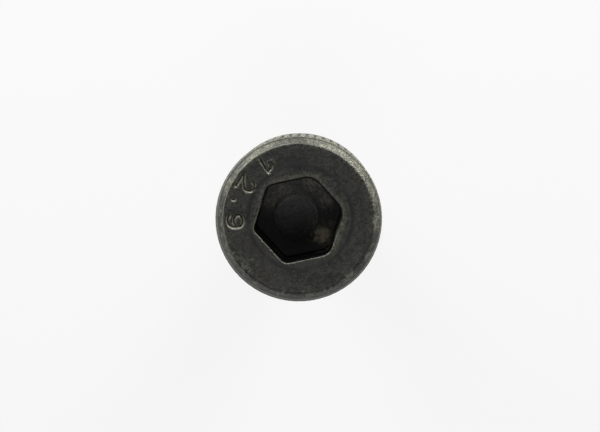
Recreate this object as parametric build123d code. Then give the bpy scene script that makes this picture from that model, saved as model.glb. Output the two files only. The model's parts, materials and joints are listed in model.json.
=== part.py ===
# Socket head cap screw, M8 x 16, forged and rolled in one piece: a knurled head with a
# hexagon socket, a short neck, and a right-hand thread to a chamfered end.
# Millimetres, +Z up. The origin is on the screw's axis in the plane of the bearing face,
# so the head stands above it and the shank hangs below it.

import os
from math import atan, ceil, cos, degrees, hypot, pi, radians, sin, sqrt, tan

from build123d import *

# Head
head_diameter = 12.9
head_height = 8.0
bearing_chamfer = 0.25

# Rim of the top: a 45 degree chamfer, then a steep smooth strip down to the full width
top_chamfer = 0.55
rim_width = 0.15
rim_height = 0.4

# Top face: a collar slopes down from the socket to a shallow valley, and a band rises
# again from the valley to the chamfer
collar_width = 0.97
valley_depth = 0.1

# Knurl: straight V grooves from the bearing chamfer up to the smooth rim
knurl_count = 60
knurl_depth = 0.16
knurl_angle = 100.0

# Hexagon socket, sunk by a punch with a blunt conical nose
across_flats = 6.1
corner_rounding = 0.3
mouth_chamfer = 0.1
key_depth = 4.0
floor_diameter = 3.2
floor_slope = 20.0

# Shank
nominal_length = 16.0
neck_length = 3.1
neck_flare = 0.5
end_relief = 0.13

# Thread
thread_diameter = 8.0
thread_pitch = 1.25
crest_allowance = 0.04
run_out_turns = 0.5
flank_angle = 30.0

# The cutting tools run this far past the faces that they leave through
overrun = 0.1

# The thread starts off the X axis, where the round faces have their seams
thread_start = 17.0

# Metric thread profile: the height of the sharp triangle that its flanks meet in sets its
# root, and its pitch line, which is also the size of the bar that the thread is rolled on
triangle_height = thread_pitch / 2 / tan(radians(flank_angle))
crest_radius = thread_diameter / 2 - crest_allowance
pitch_radius = thread_diameter / 2 - triangle_height * 3 / 8
root_radius = thread_diameter / 2 - triangle_height * 17 / 24
full_thread_top = -neck_length - run_out_turns * thread_pitch

head_radius = head_diameter / 2
rim_radius = head_radius - rim_width
rim_level = head_height - top_chamfer - rim_height
socket_radius = across_flats / 2
socket_corner_radius = across_flats / sqrt(3)
valley_radius = socket_radius + collar_width
valley_level = head_height - valley_depth


def blank():
    """The turned outline of the whole screw, before its thread, knurl and socket."""
    end_radius = root_radius - end_relief
    # The neck widens to the bearing face by two cones that follow a quarter round
    middle_flare = neck_flare * (1 - sqrt(0.5))
    corners = [
        (0, head_height),
        (socket_radius - overrun, head_height),
        (valley_radius, valley_level),
        (rim_radius - top_chamfer, head_height),
        (rim_radius, head_height - top_chamfer),
        (head_radius, rim_level),
        (head_radius, bearing_chamfer),
        (head_radius - bearing_chamfer, 0),
        (pitch_radius + neck_flare, 0),
        (pitch_radius + middle_flare, -middle_flare),
        (pitch_radius, -neck_flare),
        (pitch_radius, -neck_length),
        (crest_radius, -neck_length - (crest_radius - pitch_radius)),
        (crest_radius, crest_radius - end_radius - nominal_length),
        (end_radius, -nominal_length),
        (0, -nominal_length),
    ]
    return revolve(Plane.XZ * make_face(Polyline(*corners, close=True)), Axis.Z)


def thread_groove(helix):
    """The groove between two ridges of the thread, carried along a helix at its root."""
    depth = thread_diameter / 2 + triangle_height / 16 - root_radius
    root_half_width = thread_pitch / 12
    half_width = root_half_width + depth * tan(radians(flank_angle))
    profile = Polygon(
        (0, -root_half_width),
        (depth, -half_width),
        (depth, half_width),
        (0, root_half_width),
        align=None,
    )
    start = Plane(origin=helix @ 0, x_dir=(1, 0, 0), z_dir=(0, -1, 0))
    return sweep(start * profile, path=helix, is_frenet=True)


def thread_tools():
    """The groove cut up into turns, and the part turn in which it rises out of the bar."""
    turn = thread_groove(Helix(thread_pitch, thread_pitch, root_radius))
    turn_count = ceil((nominal_length + full_thread_top) / thread_pitch + 0.5)
    levels = [full_thread_top - (i + 1) * thread_pitch for i in range(turn_count)]

    length = run_out_turns * thread_pitch
    rise_angle = atan((pitch_radius + overrun - root_radius) / length)
    slant_pitch = thread_pitch / cos(rise_angle)
    path = Helix(slant_pitch, length, root_radius, cone_angle=degrees(rise_angle))

    tools = [Pos(0, 0, level) * turn for level in levels]
    tools.append(Pos(0, 0, full_thread_top) * thread_groove(path))
    return [Rot(0, 0, thread_start) * tool for tool in tools]


def knurl_tool():
    """A ring round the head whose inside is a row of V teeth, one for each groove."""
    bottom_radius = head_radius - knurl_depth
    half_step = pi / knurl_count
    half_angle = radians(knurl_angle / 2)
    meeting_radius = bottom_radius * sin(half_angle) / sin(half_angle - half_step)
    points = []
    for i in range(knurl_count):
        angle = 2 * half_step * i
        points.append((bottom_radius * cos(angle), bottom_radius * sin(angle)))
        angle += half_step
        points.append((meeting_radius * cos(angle), meeting_radius * sin(angle)))
    ring = Circle(meeting_radius + overrun) - Polygon(*points, align=None)
    return extrude(Pos(0, 0, bearing_chamfer) * ring, rim_level - bearing_chamfer)


def socket_tool():
    """The punch: a hexagon bar whose nose is a cone with a flat tip."""
    tip_radius = floor_diameter / 2
    shoulder = head_height - key_depth
    tip = shoulder - (socket_corner_radius - tip_radius) * tan(radians(floor_slope))
    top = head_height + overrun
    nose = Polygon(
        (0, tip),
        (tip_radius, tip),
        (socket_corner_radius, shoulder),
        (socket_corner_radius, top),
        (0, top),
        align=None,
    )
    hexagon = RegularPolygon(socket_radius, 6, major_radius=False)
    hexagon = fillet(hexagon.vertices(), corner_rounding)
    bar = extrude(Pos(0, 0, tip) * hexagon, top - tip)
    return bar & revolve(Plane.XZ * nose, Axis.Z)


def chamfer_mouth(screw):
    """The screw with a small chamfer round its socket's mouth."""
    mouth = [
        edge
        for edge in screw.edges()
        if edge.center().Z > valley_level and hypot(edge.center().X, edge.center().Y) < valley_radius
    ]
    return chamfer(mouth, mouth_chamfer)


def make_screw():
    screw = blank()
    for tool in thread_tools():
        screw -= tool
    screw -= knurl_tool()
    screw -= socket_tool()
    return chamfer_mouth(screw)


os.makedirs("parts", exist_ok=True)
export_step(make_screw(), "parts/screw.step")
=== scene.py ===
# Socket head cap screw in black oxide, standing on its threaded end.
# Lengths are in millimetres in the object's own frame (Z along the screw's axis, 0 at the
# bearing face under the head) and become metres only where a mesh, a relief, a lamp or the camera
# is made.
# A circle or a place that lies off the axis is given by its azimuth in degrees and its distance.
import json
from math import cos, pi, radians, sin, sqrt, tan

import bmesh
import bpy
import numpy as np
from mathutils import Matrix, Vector


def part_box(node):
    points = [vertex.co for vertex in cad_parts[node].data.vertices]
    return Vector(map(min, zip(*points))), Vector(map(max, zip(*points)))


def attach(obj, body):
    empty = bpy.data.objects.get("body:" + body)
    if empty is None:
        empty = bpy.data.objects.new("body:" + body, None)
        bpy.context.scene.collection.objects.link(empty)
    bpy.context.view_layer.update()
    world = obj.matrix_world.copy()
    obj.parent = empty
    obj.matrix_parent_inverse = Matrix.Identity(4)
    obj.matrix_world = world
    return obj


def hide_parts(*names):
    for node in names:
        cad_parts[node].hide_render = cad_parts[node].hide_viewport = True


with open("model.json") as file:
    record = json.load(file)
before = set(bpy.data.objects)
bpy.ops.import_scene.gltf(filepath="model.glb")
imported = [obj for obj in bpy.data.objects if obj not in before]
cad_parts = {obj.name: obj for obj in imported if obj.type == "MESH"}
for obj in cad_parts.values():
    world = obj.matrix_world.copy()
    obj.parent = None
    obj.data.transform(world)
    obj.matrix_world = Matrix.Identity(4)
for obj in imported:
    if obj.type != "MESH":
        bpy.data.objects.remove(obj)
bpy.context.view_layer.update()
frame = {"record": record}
mm = 0.001

lowCorner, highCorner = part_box("screw")
mounts = {mount["name"]: mount for mount in frame["record"]["mounts"]}
headTop = highCorner[2] / mm
screwEnd = lowCorner[2] / mm
headRadius = mounts["head"]["dims"]["r_mm"]
crestRadius = mounts["thread"]["dims"]["r_mm"]
fullThreadTop = mounts["thread"]["pos_m"][2] / mm
socketRadius = mounts["hex_socket"]["dims"]["r_mm"]
keyDepth = mounts["hex_socket"]["dims"]["length_mm"]
print("frame loaded: head", headTop, "mm high, end at", screwEnd, "mm")


view = {
    "azimuth": 70.2,        # where the camera stands, round the screw's axis
    "elevation": 84.5,
    "upAzimuth": 77.6,      # the direction on the head that points up in the picture
    "distance": 96.3,       # from the point that the camera aims at
    "aimLevel": 7.05,       # height of that point, and how far it leaves the axis
    "aimRight": 0.104,
    "aimUp": 0.237,
    "lens": 74.6,
    "sensor": 36.0,
    "clipStart": 1.0,
}


def direction(azimuth, elevation):
    # unit vector from the axis towards a place on the sky
    around, above = radians(azimuth), radians(elevation)
    return Vector((cos(above) * cos(around), cos(above) * sin(around), sin(above)))


def makeCamera():
    # the camera's three axes are its right, its up and the way back to its place on the sky
    backward = direction(view["azimuth"], view["elevation"])
    right = direction(view["upAzimuth"], 0).cross(backward).normalized()
    up = backward.cross(right)
    aim = Vector((0, 0, view["aimLevel"])) + right * view["aimRight"] + up * view["aimUp"]
    data = bpy.data.cameras.new("camera")
    data.lens = view["lens"]
    data.sensor_width = view["sensor"]
    data.clip_start = view["clipStart"] * mm
    camera = bpy.data.objects.new("camera", data)
    turn = Matrix((right, up, backward)).transposed().to_4x4()
    camera.matrix_world = Matrix.Translation((aim + backward * view["distance"]) * mm) @ turn
    bpy.context.scene.collection.objects.link(camera)
    bpy.context.scene.camera = camera


makeCamera()
bpy.context.scene.view_settings.view_transform = "Standard"
print("camera placed")


head = {
    "topClearance": 0.002,    # the top stays this much below the solid's, and burrs half as much
    "collarWidth": 0.97,      # the collar slopes from the socket down to a shallow valley
    "collarStart": 0.1,       # and begins to fall this far inside the socket's flats
    "collarShift": (39.0, 0.22),
    "valleyDepth": 0.1,
    "valleyLine": (0.012, 0.12),   # depth and width of a line left by the die in the valley
    "faceEdge": 5.77,         # radius where the top face turns over into the chamfer
    "edgeShift": (77.6, 0.09),
    "edgeWave": 0.012,        # how uneven that edge is
    "edgeRounding": (0.08, 0.20),  # where the edge is sharpest, and on its soft side
    "softSide": 288.0,
    "chamferEnd": 7.45,       # the chamfer's lower edge
    "rimWidth": 0.15,         # a steep smooth strip from there down to the knurl
    "rimEnd": 7.05,
    "rimInset": 0.04,         # the crests of the knurl stand out from that strip by this much
    "rimRounding": 0.02,      # of that strip's upper and lower edge
    "rimShift": (47.0, 0.08),
    "rimCrease": (0.03, 0.012),    # depth and half width of a turned line between it and the chamfer
    "bearingChamfer": 0.25,
    "bearingRounding": 0.05,  # of that chamfer's lower edge
    "knurlCount": 60,
    "knurlDepth": 0.16,
    "knurlAngle": 100.0,      # between the two sides of a groove
    "knurlRounding": 0.05,
    "knurlRunOut": 0.22,      # length over which a groove rises at each end
    "knurlRise": 1.15,        # and how far it rises there, in depths
}
socket = {
    "cornerRounding": 0.92,   # radius of the arcs in the corners, on average
    "cornerSwing": (20.0, 0.40),   # the punch was worn more on this side: azimuth, and how much
    "mouthRounding": 0.18,
    "mouthWave": 0.25,        # how uneven that rounding is, as a share of it
    "floorSlope": 20.0,       # of the cone from the wall down to the flat of the floor
    "floorRadius": 1.6,
    "floorShift": (205.0, 0.28),   # the punch's flat is off the axis too, and slightly dished
    "floorDish": 0.08,
    "floorRing": 0.02,        # faint burr left by the punch round the floor's flat
}
shank = {
    "neckFlare": 0.5,         # radius of the round under the head
    "neckEnd": -3.1,          # where the neck's shoulder to the crests begins
    "neckLap": 0.05,          # the neck's last ring lies this much above it
    "pitch": 1.25,
    "flankAngle": 30.0,
    "startAngle": 17.0,       # azimuth of the groove's bottom at the top of the full thread
    "runOutTurns": 0.5,       # part of a turn over which the groove rises out of the metal
    "runOutRise": 0.1,        # where it ends, outside the neck
    "crestInset": 0.04,       # the crests lie this much inside the nominal radius
    "crestRounding": 0.06,
    "rootRounding": 0.14,
    "endRelief": 0.13,        # the end face is this much narrower than the root
}
marks = {
    # each figure, its azimuth and the radius of its foot, which points outwards
    "text": [("1", 109.0, 5.48), ("2", 132.8, 5.45), (".", 150.0, 5.36), ("9", 168.6, 5.42)],
    "height": 1.16,           # between the middles of the strokes
    "stroke": 0.20,           # half the width of a stroke, stamped as a V
    "strokeLip": 0.15,        # share of that over which its edge is rounded
    "depth": 0.16,
    "slant": (130.0, 0.06),   # struck at a slant: the bottom of a stroke lies nearer this side
    "burr": (1.35, 0.25, 0.02),    # place and width of the burr in strokes, and its height
    "nick": (103.5, 4.81, 0.29),   # a low round ring beside the first figure, and its radius
    "nickBurr": (0.07, 0.03),      # width and height of that ring
    "from": 96.0,             # stretch of the head that carries them
    "to": 183.0,
}
grid = {
    # columns in one tooth of the knurl, in degrees, where the top is plain and where it is stamped
    "plainTooth": [0, 0.8, 1.45, 1.95, 3.0, 4.05, 4.55, 5.2],
    "markTooth": [0, 0.45, 0.9, 1.3, 1.65, 2.0, 2.5, 3.0, 3.5, 4.0, 4.35, 4.7, 5.1, 5.55],
    "shankStep": 3.0,         # between the columns of the shank
    "neckLevels": [-0.9, -1.4],
    # rows in one pitch of the thread, as shares of the pitch from the bottom of the groove
    "pitchRows": [-0.5, -0.44, -0.40, -0.36, -0.28, -0.19, -0.11, -0.05,
        0.0, 0.05, 0.11, 0.19, 0.28, 0.36, 0.40, 0.44],
    "mergeDistance": 0.00002,  # points nearer than this are one
    "sharpAngle": 42.0,       # faces that meet at more than this show an edge
}

# the metric profile: its sharp triangle's height gives the root and the pitch radius, which is the
# neck's, because the thread is rolled on a blank of that size
triangleHeight = shank["pitch"] / 2 / tan(radians(shank["flankAngle"]))
nominalRadius = crestRadius + shank["crestInset"]
rootRadius = nominalRadius - triangleHeight * 17 / 24
neckRadius = nominalRadius - triangleHeight * 3 / 8
endRadius = rootRadius - shank["endRelief"]
rimRadius = headRadius - head["rimInset"]
chamferRadius = rimRadius - head["rimWidth"]
valleyRadius = socketRadius + head["collarWidth"]


def softMin(a, b, size):
    # the lower of two values, rounded where they cross, and never above either
    share = np.clip(0.5 + 0.5 * (b - a) / size, 0, 1)
    return b * (1 - share) + a * share - size * share * (1 - share)


def softMax(a, b, size):
    # the higher of two values, rounded in the same way
    return -softMin(-a, -b, size)


def waver(angle, seed):
    # waves round the head, weaker the faster they are, from about -1 to 1 and different for each seed
    total = 0
    for k, count in enumerate((3, 7, 13, 29, 47)):
        total = total + np.sin(count * angle + seed * (k + 1.7)) / (k + 1.5)
    return total / 1.6


def headAngles():
    # the columns of the head: the same places in each knurl tooth, closer where the figures are
    step = 360 / head["knurlCount"]
    angles = []
    for tooth in range(head["knurlCount"]):
        start = tooth * step
        inMarks = marks["from"] <= start < marks["to"]
        places = grid["markTooth"] if inMarks else grid["plainTooth"]
        angles += [start + place for place in places]
    return np.radians(angles)


def wallRadius(angle, height):
    # the head's full width cut by V grooves: a groove's side rises by 1/tan(half its angle) for
    # each millimetre of arc from its bottom, and its bottom rises out of the metal at both ends
    step = 2 * pi / head["knurlCount"]
    arc = np.abs((angle + step / 2) % step - step / 2) * headRadius
    fromEnd = np.minimum(head["rimEnd"] - height, height - head["bearingChamfer"])
    rise = np.clip(1 - fromEnd / head["knurlRunOut"], 0, 2) * head["knurlDepth"] * head["knurlRise"]
    side = headRadius - head["knurlDepth"] + rise + arc / tan(radians(head["knurlAngle"] / 2))
    return softMin(side, np.full_like(side, headRadius), head["knurlRounding"])


def hexRadius(angle, offset=0.0):
    # distance to a hexagon with corners on the X axis, grown by the offset: its flats, and an arc
    # in each corner, whose radius goes up and down once round the axis
    apothem = socketRadius + offset
    azimuth, swing = socket["cornerSwing"]
    rounding = socket["cornerRounding"] + swing * np.cos(angle - radians(azimuth)) + offset
    fromFlat = np.abs(angle % (pi / 3) - pi / 6)
    centre = (apothem - rounding) / cos(pi / 6)
    fromCorner = pi / 6 - fromFlat
    flat = apothem / np.cos(fromFlat)
    corner = centre * np.cos(fromCorner) + np.sqrt(
        np.maximum(rounding**2 - (centre * np.sin(fromCorner)) ** 2, 0))
    atArc = fromFlat > np.arctan((apothem - rounding) * tan(pi / 6) / apothem)
    return np.where(atArc, corner, flat)


def offAxis(angle, shift, circle):
    # distance from the axis to a circle whose centre lies off the axis
    turned = angle - radians(shift[0])
    return shift[1] * np.cos(turned) + np.sqrt(circle**2 - (shift[1] * np.sin(turned)) ** 2)


def topLevel(radius, angle):
    # height of the top face: it falls from the socket to the valley and rises again to the edge
    valley = offAxis(angle, head["collarShift"], valleyRadius)
    start = socketRadius - head["collarStart"]
    collar = headTop - head["valleyDepth"] * (radius - start) / (valley - start)
    band = headTop - head["valleyDepth"] * (head["faceEdge"] - radius) / (head["faceEdge"] - valley)
    depth, width = head["valleyLine"]
    line = depth * np.exp(-(((radius - valley) / width) ** 2))
    return np.maximum(collar, band) - line - head["topClearance"]


def faceLevel(radius, angle, edge):
    # the top face and the chamfer, rounded into each other at the face's edge; the rounding goes
    # from its least to its most and back once round the axis
    rim = offAxis(angle, head["rimShift"], chamferRadius)
    slope = (headTop - head["chamferEnd"]) / (rim - edge)
    sharp, soft = head["edgeRounding"]
    rounding = (soft + sharp) / 2 + (soft - sharp) / 2 * np.cos(angle - radians(head["softSide"]))
    return softMin(topLevel(radius, angle), headTop - slope * (radius - edge), rounding)


def arcPoints(centreX, centreY, radiusX, radiusY, fromAngle, toAngle, count=14):
    # points along a part of an ellipse: the centre plus the radii times cosine and sine
    turns = np.radians(np.linspace(fromAngle, toAngle, count))
    return np.stack([centreX + radiusX * np.cos(turns), centreY + radiusY * np.sin(turns)], axis=1)


def figureStrokes(figure):
    # the centre lines of a figure 1 high, round the middle of its width
    if figure == "1":
        return [np.array([(-0.36, 0.80), (-0.12, 0.90), (0.04, 1.0), (0.04, 0.0)])]
    if figure == "2":
        bow = arcPoints(0, 0.77, 0.37, 0.34, 170, -50)
        return [np.concatenate([bow, [(-0.40, 0.0), (0.44, 0.0)]])]
    if figure == "9":
        bowl = arcPoints(0, 0.70, 0.42, 0.30, 0, 360, 24)
        tail = arcPoints(-0.06, 0.50, 0.48, 0.50, 25, -125, 16)
        return [bowl, tail]
    return [np.array([(0, 0.06), (0, 0.18)])]


def strokeDistance(x, y, strokes):
    # distance from each place to the nearest centre line
    best = np.full(x.shape, np.inf)
    for line in strokes:
        for (ax, ay), (bx, by) in zip(line[:-1], line[1:]):
            dx, dy = bx - ax, by - ay
            share = np.clip(((x - ax) * dx + (y - ay) * dy) / (dx * dx + dy * dy), 0, 1)
            best = np.minimum(best, np.hypot(x - ax - share * dx, y - ay - share * dy))
    return best


def pressedShare(away):
    # a V: 1 in the middle of a stroke, falling evenly to 0 at its edge, which is rounded
    return 1 - softMin(away / marks["stroke"], np.ones_like(away), marks["strokeLip"])


def stampedDepth(radius, angle):
    # how far the top face is pushed down by the figures, with a low burr beside each stroke and a
    # ring beside the first figure
    place, width, height = marks["burr"]
    push = np.zeros_like(radius)
    for figure, azimuth, foot in marks["text"]:
        x = (angle - radians(azimuth)) * (foot - marks["height"] / 2)
        y = foot - radius
        strokes = [line * marks["height"] for line in figureStrokes(figure)]
        away = strokeDistance(x, y, strokes)
        lean = marks["slant"][1] * pressedShare(away)
        turn = radians(marks["slant"][0] - azimuth)
        leaning = strokeDistance(x - lean * sin(turn), y + lean * cos(turn), strokes)
        burr = np.exp(-(((away / marks["stroke"] - place) / width) ** 2)) * (away > marks["stroke"])
        push = np.maximum(push, marks["depth"] * pressedShare(leaning)) - height * burr
    azimuth, middle, size = marks["nick"]
    width, height = marks["nickBurr"]
    away = np.hypot((angle - radians(azimuth)) * middle, middle - radius)
    return push - height * np.exp(-(((away - size) / width) ** 2))


# The next five functions give the rings of the head in turn, from the middle of the socket's floor
# to the bearing face; a ring is a radius and a height, each for every column or for all alike.


def floorRings(angle, wall):
    # the floor's shallow dish, the punch's faint ring, the cone up to the hexagon, and the
    # hexagon's wall up to the mouth's rounding
    flat = offAxis(angle, socket["floorShift"], socket["floorRadius"])
    slope = tan(radians(socket["floorSlope"]))
    level = headTop - keyDepth - (2 * socketRadius / sqrt(3) - socket["floorRadius"]) * slope
    rings = []
    for share in (0.2, 0.4, 0.6, 0.8, 0.9, 0.95):
        rings.append((share * flat, level - socket["floorDish"] * (1 - share**2)))
    for share, lift in ((0.98, 0.4), (1.01, 1.0), (1.05, 0.9)):
        rings.append((share * flat, level + socket["floorRing"] * lift))
    for share in (0.15, 0.35, 0.6, 0.82, 0.95, 0.985):
        outwards = share * (wall - flat)
        rings.append((flat + outwards, level + outwards * slope))
    foot = level + (wall - flat) * slope
    mouth = topLevel(wall, angle) - socket["mouthRounding"]
    for share in (0.012, 0.05, 0.2, 0.4, 0.6, 0.8, 0.92, 0.98, 1.0):
        rings.append((wall, foot + share * (mouth - foot)))
    return rings


def collarRings(angle, wall, valley):
    # the mouth's rounding, a quarter round that is a little uneven, and the collar from the
    # mouth's outline to the valley's circle; the growth is how far the hexagon moves out for each
    # millimetre of offset
    rounding = socket["mouthRounding"] * (1 + socket["mouthWave"] * waver(angle, 1.3))
    growth = (hexRadius(angle, 0.1) - wall) / 0.1
    rings = []
    for turn in np.radians((18, 36, 54, 72, 90)):
        radius = wall + rounding * (1 - cos(turn)) * growth
        rings.append((radius, topLevel(radius, angle) - rounding * (1 - sin(turn))))
    lip = wall + rounding * growth
    for share in (0.1, 0.25, 0.4, 0.55, 0.7, 0.82, 0.92):
        radius = lip + share * (valley - lip)
        rings.append((radius, topLevel(radius, angle)))
    return rings


def faceRings(angle, valley, edge, rim):
    # the band that carries the figures, closer in the valley, and the chamfer
    highest = headTop - head["topClearance"] / 2
    shares = np.concatenate([np.linspace(0, 0.12, 6), np.linspace(0.12, 0.965, 38)[1:], [0.985, 1.0]])
    rings = []
    for share in shares:
        radius = valley + share * (edge - valley)
        level = faceLevel(radius, angle, edge) - stampedDepth(radius, angle)
        rings.append((radius, np.minimum(level, highest)))
    for share in (0.03, 0.07, 0.12, 0.2, 0.3, 0.42, 0.55, 0.7, 0.82, 0.92):
        radius = edge + share * (rim - edge)
        rings.append((radius, faceLevel(radius, angle, edge)))
    return rings


def rimRings(angle, rim):
    # the turned crease, the steep strip under it, and its rounding into the wall
    top, drop = head["chamferEnd"], head["chamferEnd"] - head["rimEnd"]
    crease, half = head["rimCrease"]
    rounding = head["rimRounding"]
    rings = [(rim - rounding, top - rounding / 2), (rim - half, top - crease), (rim + half, top - crease)]
    for share in (0.2, 0.4, 0.6, 0.8, 1.0):
        rings.append((rim + share * (rimRadius - rim), top - rounding / 2 - share * drop))
    under = head["rimEnd"] - rounding
    outwards = rimRadius + 0.75 * rounding
    return rings + [(np.minimum(outwards, wallRadius(angle, under)), under)]


def wallRings(angle):
    # the knurled wall, closer where the grooves run out, and the chamfer down to the bearing face
    high, low, runOut = head["rimEnd"], head["bearingChamfer"], head["knurlRunOut"]
    levels = [high - share * runOut for share in (0.12, 0.35, 0.6, 0.8, 1.0)]
    levels += [high + (low - high) * share for share in (0.12, 0.25, 0.4, 0.55, 0.7, 0.85)]
    levels += [low + share * runOut for share in (1.0, 0.8, 0.6, 0.35, 0.12)]
    rings = [(wallRadius(angle, level), level) for level in levels]
    rounding = head["bearingRounding"]
    rings.append((headRadius - 0.24 * rounding, low - 0.24 * rounding))
    for inwards, upwards in ((-0.6, 0.84), (0.2, 0.08), (1.0, 0.0), (8.0, 0.0)):
        rings.append((headRadius - low - inwards * rounding, upwards * rounding))
    return rings


def headGrid(angle):
    # radii and heights of all the head's rings, each an array of rings by columns
    wall = hexRadius(angle)
    valley = offAxis(angle, head["collarShift"], valleyRadius)
    edge = offAxis(angle, head["edgeShift"], head["faceEdge"]) + head["edgeWave"] * waver(angle, 4.1)
    rim = offAxis(angle, head["rimShift"], chamferRadius)
    rings = floorRings(angle, wall) + collarRings(angle, wall, valley)
    rings += faceRings(angle, valley, edge, rim) + rimRings(angle, rim) + wallRings(angle)
    radius = np.stack([radius + 0 * angle for radius, height in rings])
    height = np.stack([height + 0 * angle for radius, height in rings])
    return radius, height


def neckGrid(angle):
    # a quarter round from the bearing face to the neck, and the neck down to its shoulder
    flare = shank["neckFlare"]
    rings = [(neckRadius + flare, 0.0)]
    for turn in np.radians((15, 30, 45, 60, 75, 90)):
        rings.append((neckRadius + flare * (1 - sin(turn)), -flare * (1 - cos(turn))))
    for level in grid["neckLevels"] + [shank["neckEnd"] + shank["neckLap"]]:
        rings.append((neckRadius, level))
    radius, height = np.array(rings).T
    return radius[:, None] + 0 * angle, height[:, None] + 0 * angle


def bodyRadius(height):
    # the turned shank: the neck, a 45 degree shoulder, the crests and the chamfered end
    shoulder = neckRadius + np.maximum(shank["neckEnd"] - height, 0)
    chamfer = endRadius + (height - screwEnd)
    body = softMin(shoulder, np.full_like(shoulder, crestRadius), shank["crestRounding"])
    return np.minimum(softMin(body, chamfer, shank["crestRounding"]), body)


def threadRadius(height, angle):
    # the shank cut by a helical groove: its flanks rise from a root a sixth of a pitch wide, which
    # is rounded, and over its last part turn under the head the groove rises out of the metal
    turned = (angle - radians(shank["startAngle"])) / (2 * pi)
    turns = (height - fullThreadTop) / shank["pitch"] - turned
    nearest = np.round(turns)
    fromGroove = np.abs(turns - nearest) * shank["pitch"]
    past = nearest + turned
    rise = np.maximum(past / shank["runOutTurns"], 0) * (neckRadius + shank["runOutRise"] - rootRadius)
    flank = (fromGroove - shank["pitch"] / 12) / tan(radians(shank["flankAngle"]))
    groove = rootRadius + softMax(flank, np.zeros_like(flank), shank["rootRounding"]) + rise
    groove = np.where(past > shank["runOutTurns"], headRadius, groove)
    return softMin(bodyRadius(height), groove, shank["crestRounding"])


def threadGrid(angle):
    # rows that follow the helix: each pitch has the same rows, closer at the crest and root, and
    # a row climbs by one pitch for each turn; rows past either end stop on that end's circle
    pitch = shank["pitch"]
    top, bottom = shank["neckEnd"] + shank["neckLap"], screwEnd
    turns = np.arange(int((top - bottom) / pitch) + 4)
    ladder = (turns[:, None] + np.array(grid["pitchRows"]) + 0.5).ravel()
    start = fullThreadTop + pitch * (np.ceil((top - fullThreadTop) / pitch) + 1.5)
    helix = pitch * (angle - radians(shank["startAngle"])) / (2 * pi)
    height = np.clip(start - pitch * ladder[:, None] + helix, bottom, top)
    radius = threadRadius(height, angle + 0 * height)
    radius = np.where(height >= top, neckRadius, radius)
    radius = np.where(height <= bottom, endRadius, radius)
    return radius, height


def placed(radius, height, angle):
    # a grid of rings by columns as one list of points
    points = np.stack([radius * np.cos(angle), radius * np.sin(angle), height], axis=-1)
    return points.reshape(-1, 3)


def quadRows(first, rows, columns, climb=0):
    # faces between neighbouring rows of a closed grid, with the outside to the left of travel;
    # where the turn closes, a row meets the one that lies this many rows before it
    row, column = np.meshgrid(np.arange(rows - 1), np.arange(columns), indexing="ij")
    beside = (column + 1) % columns
    climbed = np.where(column == columns - 1, climb, 0)
    upper = np.maximum(row - climbed, 0) * columns + beside
    lower = np.maximum(row + 1 - climbed, 0) * columns + beside
    quads = np.stack([row * columns + column, (row + 1) * columns + column, lower, upper], axis=-1)
    return (first + quads.reshape(-1, 4)).tolist()


def poleFan(pole, ring, beside):
    # triangles from a pole to each step of a ring
    return np.stack([np.full(len(ring), pole), ring, beside], axis=1).tolist()


def bearingFaces(headAngle, shankAngle, lastHeadRing, firstNeckRing):
    # one flat face for each step of the neck's first ring, which meets a few columns of the head;
    # a column at the very angle of a step belongs to it
    columns, steps = len(headAngle), len(shankAngle)
    startOf = np.searchsorted(headAngle, shankAngle - 1e-6)
    faces = []
    for step in range(steps):
        start, end = startOf[step], startOf[(step + 1) % steps] or columns
        outer = [lastHeadRing + column % columns for column in range(start, end + 1)]
        faces.append([firstNeckRing + (step + 1) % steps] + outer[::-1] + [firstNeckRing + step])
    return faces


def makeScrewMesh():
    # one closed mesh: a pole in the socket's floor, the head, the bearing face, the neck, the
    # thread, and a pole in the end face
    headAngle = headAngles()
    shankAngle = np.radians(np.arange(0, 360, grid["shankStep"]))
    headRadii, headHeights = headGrid(headAngle)
    neckRadii, neckHeights = neckGrid(shankAngle)
    threadRadii, threadHeights = threadGrid(shankAngle)
    print("head:", len(headRadii), "rings of", len(headAngle))
    print("thread:", len(threadRadii), "rows of", len(shankAngle))

    points = np.concatenate([
        [[0, 0, headHeights[0, 0]]],
        placed(headRadii, headHeights, headAngle),
        placed(neckRadii, neckHeights, shankAngle),
        placed(threadRadii, threadHeights, shankAngle),
        [[0, 0, screwEnd]],
    ])
    firstNeck = 1 + headRadii.size
    firstThread = firstNeck + neckRadii.size
    endPole = len(points) - 1
    innerRing = 1 + np.arange(len(headAngle))
    endRing = endPole - len(shankAngle) + np.arange(len(shankAngle))
    faces = poleFan(0, innerRing, np.roll(innerRing, -1))
    faces += quadRows(1, *headRadii.shape)
    faces += bearingFaces(headAngle, shankAngle, firstNeck - len(headAngle), firstNeck)
    faces += quadRows(firstNeck, *neckRadii.shape)
    faces += quadRows(firstThread, *threadRadii.shape, climb=len(grid["pitchRows"]))
    faces += poleFan(endPole, np.roll(endRing, -1), endRing)

    mesh = bpy.data.meshes.new("screw_body")
    mesh.from_pydata((points * mm).tolist(), [], faces)
    merged = bmesh.new()
    merged.from_mesh(mesh)
    bmesh.ops.remove_doubles(merged, verts=merged.verts, dist=grid["mergeDistance"] * mm)
    bmesh.ops.recalc_face_normals(merged, faces=merged.faces)
    openEdges = sum(1 for edge in merged.edges if not edge.is_manifold)
    triangles = sum(len(face.verts) - 2 for face in merged.faces)
    merged.to_mesh(mesh)
    merged.free()
    mesh.polygons.foreach_set("use_smooth", np.ones(len(mesh.polygons), bool))
    mesh.set_sharp_from_angle(angle=radians(grid["sharpAngle"]))
    print("screw mesh:", triangles, "triangles,", openEdges, "open edges")
    return mesh


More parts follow.
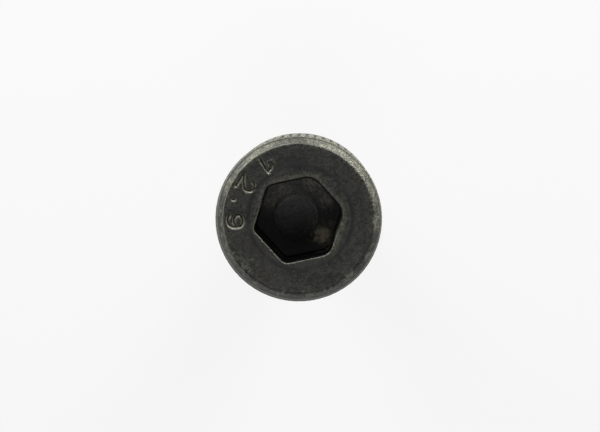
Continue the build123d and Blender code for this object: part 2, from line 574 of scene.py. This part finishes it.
class Wire:
    # wraps an output socket, so that sums of textures are written as plain expressions
    tree = None

    def __init__(self, socket):
        self.socket = socket

    @staticmethod
    def node(kind, settings=None, inputs=None, output=0):
        # adds any node: its settings first, then values or links for its sockets
        made = Wire.tree.nodes.new(kind)
        for name, value in (settings or {}).items():
            setattr(made, name, value)
        for name, value in (inputs or {}).items():
            if isinstance(value, Wire):
                Wire.tree.links.new(value.socket, made.inputs[name])
            else:
                made.inputs[name].default_value = value
        return Wire(made.outputs[output]) if made.outputs else None

    def beside(self, output):
        # another output of the same node
        return Wire(self.socket.node.outputs[output])

    def math(self, operation, *others):
        # a Math node on this value and the others
        sockets = {i: value for i, value in enumerate((self,) + others)}
        return Wire.node("ShaderNodeMath", {"operation": operation}, sockets)

    def __add__(self, other):
        return self.math("ADD", other)

    __radd__ = __add__

    def __sub__(self, other):
        return self.math("SUBTRACT", other)

    def __rsub__(self, other):
        return Wire.node("ShaderNodeMath", {"operation": "SUBTRACT"}, {0: other, 1: self})

    def __mul__(self, other):
        return self.math("MULTIPLY", other)

    __rmul__ = __mul__

    def __truediv__(self, other):
        return self.math("DIVIDE", other)

    def step(self, low, high):
        # 0 below low, 1 above high, smooth between
        inputs = {"Value": self, "From Min": low, "From Max": high}
        return Wire.node("ShaderNodeMapRange", {"interpolation_type": "SMOOTHSTEP"}, inputs)

    def mixed(self, first, second):
        # first where this mask is 0, second where it is 1; both are colours
        inputs = {0: self, 6: first, 7: second}
        return Wire.node("ShaderNodeMix", {"data_type": "RGBA"}, inputs, output=2)


def newMaterial(name):
    # an empty material, to which the next nodes are added
    material = bpy.data.materials.new(name)
    material.use_nodes = True
    Wire.tree = material.node_tree
    Wire.tree.nodes.clear()
    return material


def noise(place, size, detail=2.0, roughness=0.5):
    # cloudy value from 0 to 1 whose blotches are about this many millimetres across
    inputs = {"Vector": place, "Scale": 1 / size, "Detail": detail, "Roughness": roughness}
    return Wire.node("ShaderNodeTexNoise", {}, inputs)


oxide = {
    "colour": (0.0025, 0.0030, 0.0021, 1),
    "paleColour": (0.0400, 0.0412, 0.0325, 1),
    "warmColour": (0.0240, 0.0200, 0.0135, 1),
    # dark colour of the painted shade in the valley and the socket, and of a stain on the top face
    "dirtColour": (0.0032, 0.0052, 0.0044, 1),
    # pale metal colour of the wear, which on the lit side also paints a highlight
    "wornColour": (0.375, 0.372, 0.285, 1),
    # colour of the dull dark sheet of painted shade in the socket
    "sootColour": (0.0030, 0.0036, 0.0033, 1),
    # pale colour of the painted reflections in the socket
    "bareColour": (0.47, 0.43, 0.32, 1),
    "roughness": 0.42,
    "ior": 1.6,
    "reliefStrength": 0.9,
    "reliefDepth": 0.02,
    # clouds, from fine to coarse: size, detail and roughness
    "grain": (0.075, 2.0, 0.6),
    "grit": (0.16, 2.0, 0.6),
    "scuff": (0.30, 3.0, 0.6),
    "blotch": (1.1, 3.0, 0.55),
    "rings": (0.30, 3.0, 0.6),
    "ringStretch": (0.22, 2.2),       # how fast the rings change along X and Y, and outwards
    "warmCloud": 2.3,
    # size of the clouds in the valley's painted shade
    "dirtCloud": 1.6,
    "frayCloud": 0.35,                # frays the edges of the spots below
    "wornSide": 58.0,                 # azimuth of the lit side, whose edges are worn most and are painted paler there as a highlight
    # how much metal shows where a zone is rubbed, and how strong the painted highlights on the lip and
    # the lit side are: everywhere, and more in the bright grains
    "rubs": {
        "chamfer": (0.30, 0.70),
        "edge": (0.03, 0.13),
        "rim": (0.20, 0.35),
        "crest": (0.15, 0.50),
        "mouth": (0.03, 0.07),
        "mouthPatch": (0.04, 0.22),
        "lip": (0.12, 0.30),
        "mark": (0.45, 0.45),
        "patch": (0.05, 0.35),
        "nick": (0.05, 0.30),
    },
    # spots: azimuth, radius, size, and strength where it is not 1
    "keptPatch": (80.0, 6.0, 3.2, 0.7),
    "rubbed": [(302.0, 6.0, 3.4, 0.20), (32.0, 6.0, 2.8, 0.14)],
    "wornPatch": (208.6, 5.75, 1.4),
    "mouthPatch": (322.0, 3.5, 2.4),
    "stain": (78.0, 4.2, 1.2, 0.8),
    # painted shade over the lower side of the socket's floor
    "sootSpot": (258.0, 1.1, 2.4, 0.35),
    "bareSpots": [                    # painted reflections: spots of pale metal colour in the socket
        (307.6, 2.43, 0.85, 1.2),
        (308.0, 2.45, 1.6, 0.35),
        (60.3, 2.90, 1.0, 0.28),
        (38.0, 2.60, 1.2, 0.15),
        (15.3, 2.45, 0.9, 0.26),
        (142.0, 2.60, 1.0, 0.22),
        (110.0, 2.50, 1.3, 0.20),
    ],
}


class Surface:
    # wires that the finish is worked out from, in millimetres: where a point lies, clouds of
    # several sizes, and zones of the screw, each 1 inside and 0 outside

    def __init__(self):
        metres = Wire.node("ShaderNodeTexCoord", output=3)
        scaled = {0: metres, "Scale": 1 / mm}
        self.place = Wire.node("ShaderNodeVectorMath", {"operation": "SCALE"}, scaled)
        self.x = Wire.node("ShaderNodeSeparateXYZ", {}, {0: self.place})
        self.y, self.z = self.x.beside(1), self.x.beside(2)
        self.radius = (self.x * self.x + self.y * self.y).math("SQRT")
        self.addClouds()
        self.addZones()

    def addClouds(self):
        # clouds of several sizes, rings round the axis left by the die, and bright grains
        self.grain = noise(self.place, *oxide["grain"])
        self.grit = noise(self.place, *oxide["grit"])
        self.scuff = noise(self.place, *oxide["scuff"])
        self.blotch = noise(self.place, *oxide["blotch"])
        across, outwards = oxide["ringStretch"]
        stretched = {0: self.x * across, 1: self.y * across, 2: self.radius * outwards}
        self.rings = noise(Wire.node("ShaderNodeCombineXYZ", {}, stretched), *oxide["rings"])
        self.speckle = (self.grain * 0.3 + self.grit * 0.4 + self.scuff * 0.3).step(0.43, 0.57)
        self.fray = noise(self.place, oxide["frayCloud"]) * 2.0

    def addZones(self):
        # the head, its top, chamfer, valley and knurl crests, the socket and its mouth, the lit side,
        # where the wear is heaviest and partly a painted highlight, and the face's edge, which is ragged
        # on the other side
        top = headTop - head["valleyDepth"] - 0.2
        self.onTop = self.z.step(top, top + 0.1)
        self.onHead = self.z.step(-0.1, 0.1)
        self.onChamfer = self.z.step(head["chamferEnd"] - 0.1, head["chamferEnd"] + 0.02)
        self.onCrest = self.radius.step(headRadius - 0.09, headRadius - 0.01)
        self.fromMouth = self.fromHexagon()
        self.inSocket = (1 - self.fromMouth.step(-0.02, 0.03)) * self.onHead
        self.nearMouth = 1 - self.fromMouth.step(0.25, 0.60)
        self.inValley = 1 - self.fromCircle(head["collarShift"], valleyRadius).step(0.02, 0.24)
        self.side = self.facing(oxide["wornSide"])
        self.wornSide = self.side.step(-0.35, 0.85)
        self.upperSide = self.side.step(-0.25, 0.25)
        self.fromEdge = self.fromPoint(*head["edgeShift"]) - head["faceEdge"]
        wander = (self.scuff * 0.5 + self.blotch * 0.5 - 0.5) * 1.2 * (1 - self.wornSide)
        ragged = (self.fromEdge + wander) * (0.5 + 0.5 * self.wornSide)
        self.pastEdge = ragged.step(-0.06, 0.12)
        self.nearEdge = ragged.step(-0.45, 0.02)

    def fromPoint(self, azimuth, radius):
        # distance, seen from above, from a point given by its azimuth and radius
        fromX = self.x - radius * cos(radians(azimuth))
        fromY = self.y - radius * sin(radians(azimuth))
        return (fromX * fromX + fromY * fromY).math("SQRT")

    def fromCircle(self, shift, circle):
        # distance, seen from above, from a circle whose centre lies off the axis
        return (self.fromPoint(*shift) - circle).math("ABSOLUTE")

    def facing(self, azimuth):
        # cosine of the angle round the axis between the point and this azimuth
        return (self.x * cos(radians(azimuth)) + self.y * sin(radians(azimuth))) / self.radius

    def fromHexagon(self):
        # distance outside the socket's outline, whose corners are rounded as in the mesh: the
        # place is folded to the flat across Y, and measured from a smaller, sharp hexagon
        azimuth, swing = socket["cornerSwing"]
        rounding = self.facing(azimuth) * swing + socket["cornerRounding"]
        apothem = socketRadius - rounding
        x, y = self.x.math("ABSOLUTE"), self.y.math("ABSOLUTE")
        fold = (y - x * sqrt(3)).math("MINIMUM", 0.0)
        x, y = (x + fold * (sqrt(3) / 2)).math("ABSOLUTE"), y - fold * 0.5
        pastX = (x - apothem * tan(pi / 6)).math("MAXIMUM", 0.0)
        pastY = (y - apothem).math("MAXIMUM", 0.0)
        return (pastX * pastX + pastY * pastY).math("SQRT") - rounding

    def spot(self, azimuth, radius, size, strength=1.0):
        # the strength at a point of the head, falling to 0 about this far from it, with a frayed edge
        return strength * (1 - (self.fromPoint(azimuth, radius) * self.fray).step(0.0, size))

    def rub(self, zone):
        # how much metal shows where this zone is rubbed
        everywhere, inGrains = oxide["rubs"][zone]
        return everywhere + inGrains * self.speckle


def chamferWearAndHighlight(at):
    # worn most on the lit side, in patches on the other and least half way between them, with a faint
    # rubbed margin inside the chamfer's upper edge; this follows how the light falls on the chamfer, so
    # it is partly wear and partly a painted highlight
    outer = at.radius.step(head["faceEdge"] + 0.1, chamferRadius)
    patchy = 0.85 + 1.4 * (at.rings - 0.5) + 1.4 * (at.blotch - 0.5) + 1.4 * (at.scuff - 0.5)
    patches = (at.blotch * 0.5 + at.scuff * 0.5).step(0.46, 0.60) * (1.9 + 0.8 * at.side)
    # heavier on the lit side and lighter at the sides: a painted highlight as well as wear
    wornAndLit = 0.20 + 0.78 * at.wornSide + 0.30 * (1 - at.wornSide) * patches
    wornAndLit = wornAndLit - 0.34 * (1 - at.side.math("ABSOLUTE"))
    wornAndLit = wornAndLit + sum(at.spot(*rubbed) for rubbed in oxide["rubbed"])
    wornAndLit = wornAndLit * (1 - 0.2 * outer) * patchy * (1 - at.spot(*oxide["keptPatch"]))
    margin = at.nearEdge * (1 - at.pastEdge) * at.scuff.step(0.3, 0.6) * (0.45 + 0.55 * at.wornSide)
    return at.onChamfer * (at.pastEdge * wornAndLit * at.rub("chamfer") + margin * at.rub("edge"))


def rimWearAndHighlight(at):
    # the steep strip under the chamfer, and the crests of the knurl, whose pale wear is heavier on the
    # lit side and so partly a painted highlight
    strip = at.radius.step(chamferRadius - 0.1, chamferRadius) * (1 - at.onChamfer.step(0.1, 0.5))
    strip = strip * at.z.step(head["rimEnd"] - 0.03, head["rimEnd"])
    # crests paler on the lit side, a painted highlight as well as wear
    crests = at.onHead * at.onCrest * (1 - at.onChamfer) * (0.7 + 0.8 * at.wornSide)
    return strip * at.rub("rim") + crests * at.rub("crest")


def mouthWearAndHighlight(at):
    # round the socket's mouth, more in one patch, and a painted highlight along the rounded lip on the
    # lower side
    halo = at.rub("mouth") * (0.4 + 1.4 * at.upperSide)
    halo = halo + at.rub("mouthPatch") * at.spot(*oxide["mouthPatch"])
    # painted highlight along the mouth's rounded lip on the lower side
    lip = at.fromMouth.step(0.05, 0.09) * (1 - at.fromMouth.step(0.11, 0.16)) * (1 - at.upperSide)
    return at.onTop * (1 - at.inSocket) * (at.nearMouth * halo + lip * at.rub("lip"))


def markWear(at):
    # the upper part of the figures' walls, found by its depth below the slope of the band
    slope = head["valleyDepth"] / (head["faceEdge"] - valleyRadius)
    below = headTop - at.z + at.fromEdge * slope
    walls = below.step(0.02, 0.04) * (1 - below.step(0.09, 0.13))
    nearMarks = at.facing((marks["from"] + marks["to"]) / 2).step(0.5, 0.65)
    nearMarks = nearMarks * at.radius.step(valleyRadius + 0.08, valleyRadius + 0.18)
    return at.onTop * (1 - at.pastEdge) * nearMarks * walls * at.rub("mark")


def spotWear(at):
    # a worn patch near the face's edge, and the ring beside the first figure
    patch = at.spot(*oxide["wornPatch"]) * at.scuff.step(0.35, 0.6) * at.rub("patch")
    azimuth, radius, size = marks["nick"]
    ring = 1 - at.fromCircle((azimuth, radius), size).step(0.02, 0.10)
    return at.onTop * (patch + ring * at.rub("nick"))


def floorRingHighlight(at):
    # a painted highlight on the upper side of the punch's ring round the socket's floor
    ring = 1 - at.fromCircle(socket["floorShift"], socket["floorRadius"]).step(0.02, 0.08)
    return at.inSocket * ring * at.upperSide * (0.10 + 0.25 * at.scuff)


def wearAndHighlightMask(at):
    # where the oxide is rubbed off, together with the painted highlights laid in as wear; the turned
    # crease under the chamfer stays dark in places
    wearAndHighlight = chamferWearAndHighlight(at) + rimWearAndHighlight(at) + mouthWearAndHighlight(at)
    wearAndHighlight = wearAndHighlight + markWear(at) + spotWear(at) + floorRingHighlight(at)
    crease = 1 - at.fromCircle(head["rimShift"], chamferRadius).step(0.02, 0.07)
    crease = crease * at.z.step(head["chamferEnd"] - 0.15, head["chamferEnd"] - 0.08)
    return (wearAndHighlight * (1 - crease * (0.35 + 0.9 * at.scuff))).math("MINIMUM", 1.0)


def paintedReflectionMask(at):
    # painted reflections: pale metal colour in spots in the socket, broken up by clouds
    mottling = (3.2 * (at.scuff - 0.3) + 2.0 * (at.grit - 0.5)).math("MAXIMUM", 0.0)
    spots = sum(at.spot(*spot) for spot in oxide["bareSpots"])
    return (at.inSocket * spots * (0.2 + 1.2 * mottling)).math("MINIMUM", 1.0)


def paintedShadeMask(at):
    # painted shade: a dull dark sheet just inside the socket's mouth on the upper side, reaching deeper
    # down the walls on the lower side, and a spot of it on the floor's lower side
    upper = (1 - at.fromMouth.step(0.07, 0.16)) * at.upperSide * 0.85
    upper = upper * at.z.step(headTop - 1.1, headTop - 0.3)
    lower = (1 - at.fromMouth.step(0.03, 0.07)) * (1 - at.upperSide)
    lower = lower * at.z.step(headTop - 2.6, headTop - 1.6)
    shadedInside = at.onHead * upper.math("MAXIMUM", lower)
    return shadedInside.math("MAXIMUM", at.inSocket * at.spot(*oxide["sootSpot"]))


def oxideColour(at):
    # mottled black, warm in places, with painted shade in the valley and the socket, and a stain on the
    # top face
    mottle = (at.blotch * 0.4 + at.scuff * 0.35 + at.rings * 0.25).step(0.37, 0.62)
    pale = mottle * 0.8 + 1.6 * (at.grain - 0.5) + 3.2 * (at.grit - 0.47)
    colour = pale.mixed(oxide["colour"], oxide["paleColour"])
    warm = noise(at.place, oxide["warmCloud"]).step(0.45, 0.7) * 0.7
    colour = warm.mixed(colour, oxide["warmColour"])
    # painted shade in the valley's groove, clouded
    shadeAndStain = at.inValley * (noise(at.place, oxide["dirtCloud"]).step(0.38, 0.6) + 0.9 * at.scuff)
    shadeAndStain = (at.onTop * (shadeAndStain + at.spot(*oxide["stain"]))).math("MINIMUM", 1.0)
    # painted shade over the whole socket
    return shadeAndStain.math("MAXIMUM", at.inSocket * 0.85).mixed(colour, oxide["dirtColour"])


def makeOxide():
    # dull oxide with worn metal, painted highlights and painted reflections over it, a fine relief, and
    # painted shade as a dull dark sheet that does not shine
    material = newMaterial("black_oxide_steel")
    at = Surface()
    wearAndHighlight, reflected = wearAndHighlightMask(at), paintedReflectionMask(at)
    colour = (wearAndHighlight * 0.85).mixed(oxideColour(at), oxide["wornColour"])
    uneven = 0.22 * (at.grain - 0.5) + 0.25 * (at.grit - 0.5) + 0.2 * (at.scuff - 0.5)
    relief = 0.8 * at.grain + 1.3 * at.grit + 1.8 * at.scuff + 1.5 * at.blotch + 1.3 * wearAndHighlight * at.grain
    bump = Wire.node("ShaderNodeBump", {}, {
        "Strength": oxide["reliefStrength"],
        "Distance": oxide["reliefDepth"] * mm,
        "Height": relief,
    })
    shader = Wire.node("ShaderNodeBsdfPrincipled", {}, {
        # the painted reflections in pale metal colour
        "Base Color": reflected.mixed(colour, oxide["bareColour"]),
        "Metallic": wearAndHighlight * 0.8 + reflected,
        "Roughness": oxide["roughness"] + uneven,
        "IOR": oxide["ior"],
        "Normal": bump,
    })
    # a dull dark sheet that paints shade inside the socket
    shadeSheet = Wire.node("ShaderNodeBsdfDiffuse", {}, {"Color": oxide["sootColour"]})
    surface = Wire.node("ShaderNodeMixShader", {}, {0: paintedShadeMask(at), 1: shader, 2: shadeSheet})
    Wire.node("ShaderNodeOutputMaterial", {}, {"Surface": surface})
    return material


screwMesh = makeScrewMesh()
screwMesh.materials.append(makeOxide())
screw = bpy.data.objects.new("cap_screw", screwMesh)
bpy.context.scene.collection.objects.link(screw)
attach(screw, "root")
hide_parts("screw")
print("screw dressed")


studio = {
    "floorColour": (0.86, 0.86, 0.855, 1),
    "floorGlow": 1.0,
    "glowShare": 0.84,       # of the glow in what the camera sees of the floor
    "floorSize": 1200.0,
    "floorGap": 0.01,        # under the screw's end
    "skyColour": (1.0, 1.0, 1.0, 1),
    "skyStrength": 0.12,
}
panels = [
    # name, azimuth, elevation, distance, width, height, share of the plain level
    ("panel_up_left", 118.0, 14.0, 260, 150, 110, 0.22),
    ("panel_up_right", 45.0, 14.0, 260, 150, 110, 0.245),
    ("panel_low", 258.0, 62.0, 320, 160, 120, 0.09),
]


def makeFloor():
    # a sheet of paper that is nearly white to the camera and in reflections, and keeps shadows
    half = studio["floorSize"] / 2 * mm
    low = (screwEnd - studio["floorGap"]) * mm
    corners = [(-half, -half, low), (half, -half, low), (half, half, low), (-half, half, low)]
    mesh = bpy.data.meshes.new("floor")
    mesh.from_pydata(corners, [], [(0, 1, 2, 3)])
    mesh.materials.append(newMaterial("floor_paper"))
    paper = Wire.node("ShaderNodeBsdfDiffuse", {}, {"Color": studio["floorColour"]})
    glow = Wire.node("ShaderNodeEmission", {}, {"Color": (1, 1, 1, 1), "Strength": studio["floorGlow"]})
    camera = Wire.node("ShaderNodeLightPath", output="Is Camera Ray")
    seen = camera.math("MAXIMUM", camera.beside("Is Glossy Ray"))
    seen = seen.math("MAXIMUM", camera.beside("Is Transmission Ray"))
    surface = Wire.node("ShaderNodeMixShader", {}, {0: seen * studio["glowShare"], 1: paper, 2: glow})
    # seen from below the floor is clear, so that it does not hide the screw's end
    fromBelow = Wire.node("ShaderNodeNewGeometry", output="Backfacing")
    clear = Wire.node("ShaderNodeBsdfTransparent")
    surface = Wire.node("ShaderNodeMixShader", {}, {0: fromBelow, 1: surface, 2: clear})
    Wire.node("ShaderNodeOutputMaterial", {}, {"Surface": surface})
    floor = bpy.data.objects.new("floor", mesh)
    bpy.context.scene.collection.objects.link(floor)


def makeSky():
    # an even, weak light from all round
    world = bpy.data.worlds.new("sky")
    world.use_nodes = True
    bpy.context.scene.world = world
    background = world.node_tree.nodes["Background"]
    background.inputs[0].default_value = studio["skyColour"]
    background.inputs[1].default_value = studio["skyStrength"]


def makePanel(name, azimuth, elevation, distance, width, height, share):
    # a panel that faces the head; its power gives this share of the light at which a level
    # white sheet under it would look white
    towards = direction(azimuth, elevation)
    data = bpy.data.lights.new(name, "AREA")
    data.shape = "RECTANGLE"
    data.size = width * mm
    data.size_y = height * mm
    data.energy = share * pi**2 * (distance * mm) ** 2 / sin(radians(elevation))
    lamp = bpy.data.objects.new(name, data)
    lamp.location = (towards * distance + Vector((0, 0, headTop))) * mm
    lamp.rotation_euler = towards.to_track_quat("Z", "Y").to_euler()
    bpy.context.scene.collection.objects.link(lamp)


makeFloor()
makeSky()
for panel in panels:
    makePanel(*panel)
print("floor and lights placed")
